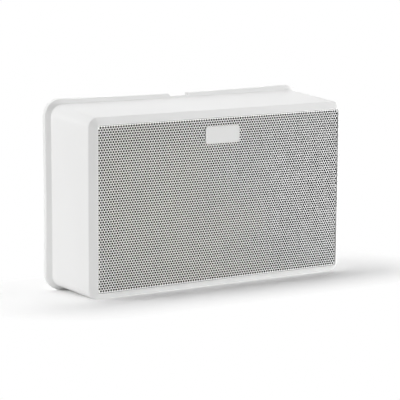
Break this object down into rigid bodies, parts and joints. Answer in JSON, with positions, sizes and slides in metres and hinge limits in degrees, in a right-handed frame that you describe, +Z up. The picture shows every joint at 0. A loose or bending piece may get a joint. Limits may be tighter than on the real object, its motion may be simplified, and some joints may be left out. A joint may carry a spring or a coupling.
{
  "type": "cabinet loudspeaker",
  "caption": "Wall-mounted cabinet loudspeaker with a bevelled front frame, perforated steel grille, flared rear flange, dual-cone driver and line transformer.",
  "frame": {"origin": "middle of the footprint in X and Y, level with the flange's lowest edge", "axes": "+X to the right seen from the front, -Y towards the listener, +Y towards the wall, +Z up"},
  "size_m": [0.269, 0.0882, 0.1742],
  "materials": {
    "shell": "satin",
    "grille_paint": "satin",
    "acoustic_cloth": "matte",
    "badge_paint": "satin",
    "back_plastic": "matte",
    "bush_rubber": "matte",
    "zinc_steel": "satin",
    "frame_steel": "satin",
    "gasket_foam": "matte",
    "ferrite": "matte",
    "fibre_board": "matte",
    "brass": "satin",
    "edge_rubber": "matte",
    "spider_cloth": "matte",
    "cone_paper": "matte",
    "whizzer_paper": "matte",
    "former_paper": "matte",
    "copper": "satin",
    "lamination": "satin",
    "bobbin_nylon": "matte",
    "steatite": "glossy",
    "lead_brown": "satin",
    "lead_blue": "satin",
    "lead_red": "satin",
    "lead_black": "satin"
  },
  "bodies": {
    "enclosure": {"cabinet": "shell", "grille": "grille_paint", "grille_cloth": "acoustic_cloth", "badge": "badge_paint", "wall_plate": "back_plastic", "cable_grommet": "bush_rubber", "cabinet_screws": "zinc_steel", "driver_basket": "frame_steel", "driver_gasket": "gasket_foam", "driver_screws": "zinc_steel", "top_plate": "zinc_steel", "magnet": "ferrite", "pole_yoke": "zinc_steel", "terminal_strip": "fibre_board", "solder_tags": "brass", "surround": "edge_rubber", "spider": "spider_cloth", "tinsel_leads": "copper", "transformer_core": "lamination", "transformer_bobbin": "bobbin_nylon", "transformer_winding": "copper", "transformer_strap": "zinc_steel", "transformer_screws": "zinc_steel", "terminal_block": "steatite", "terminal_clamps": "brass", "terminal_screws": "zinc_steel", "block_screws": "zinc_steel", "thermal_fuse": "zinc_steel", "supply_lead_live": "lead_brown", "supply_lead_fused": "lead_brown", "supply_lead_return": "lead_blue", "driver_lead_plus": "lead_red", "driver_lead_minus": "lead_black"},
    "cone_assembly": {"cone": "cone_paper", "whizzer_cone": "whizzer_paper", "dust_cap": "whizzer_paper", "coil_former": "former_paper", "voice_coil": "copper"}
  },
  "joints": [
    {"name": "cone_travel", "type": "slide", "parent": "enclosure", "child": "cone_assembly", "axis": [0, -1, 0], "range_m": [-0.0025, 0.0025], "stiffness_N_per_m": 1500, "deforming": ["surround", "spider", "tinsel_leads"]}
  ]
}
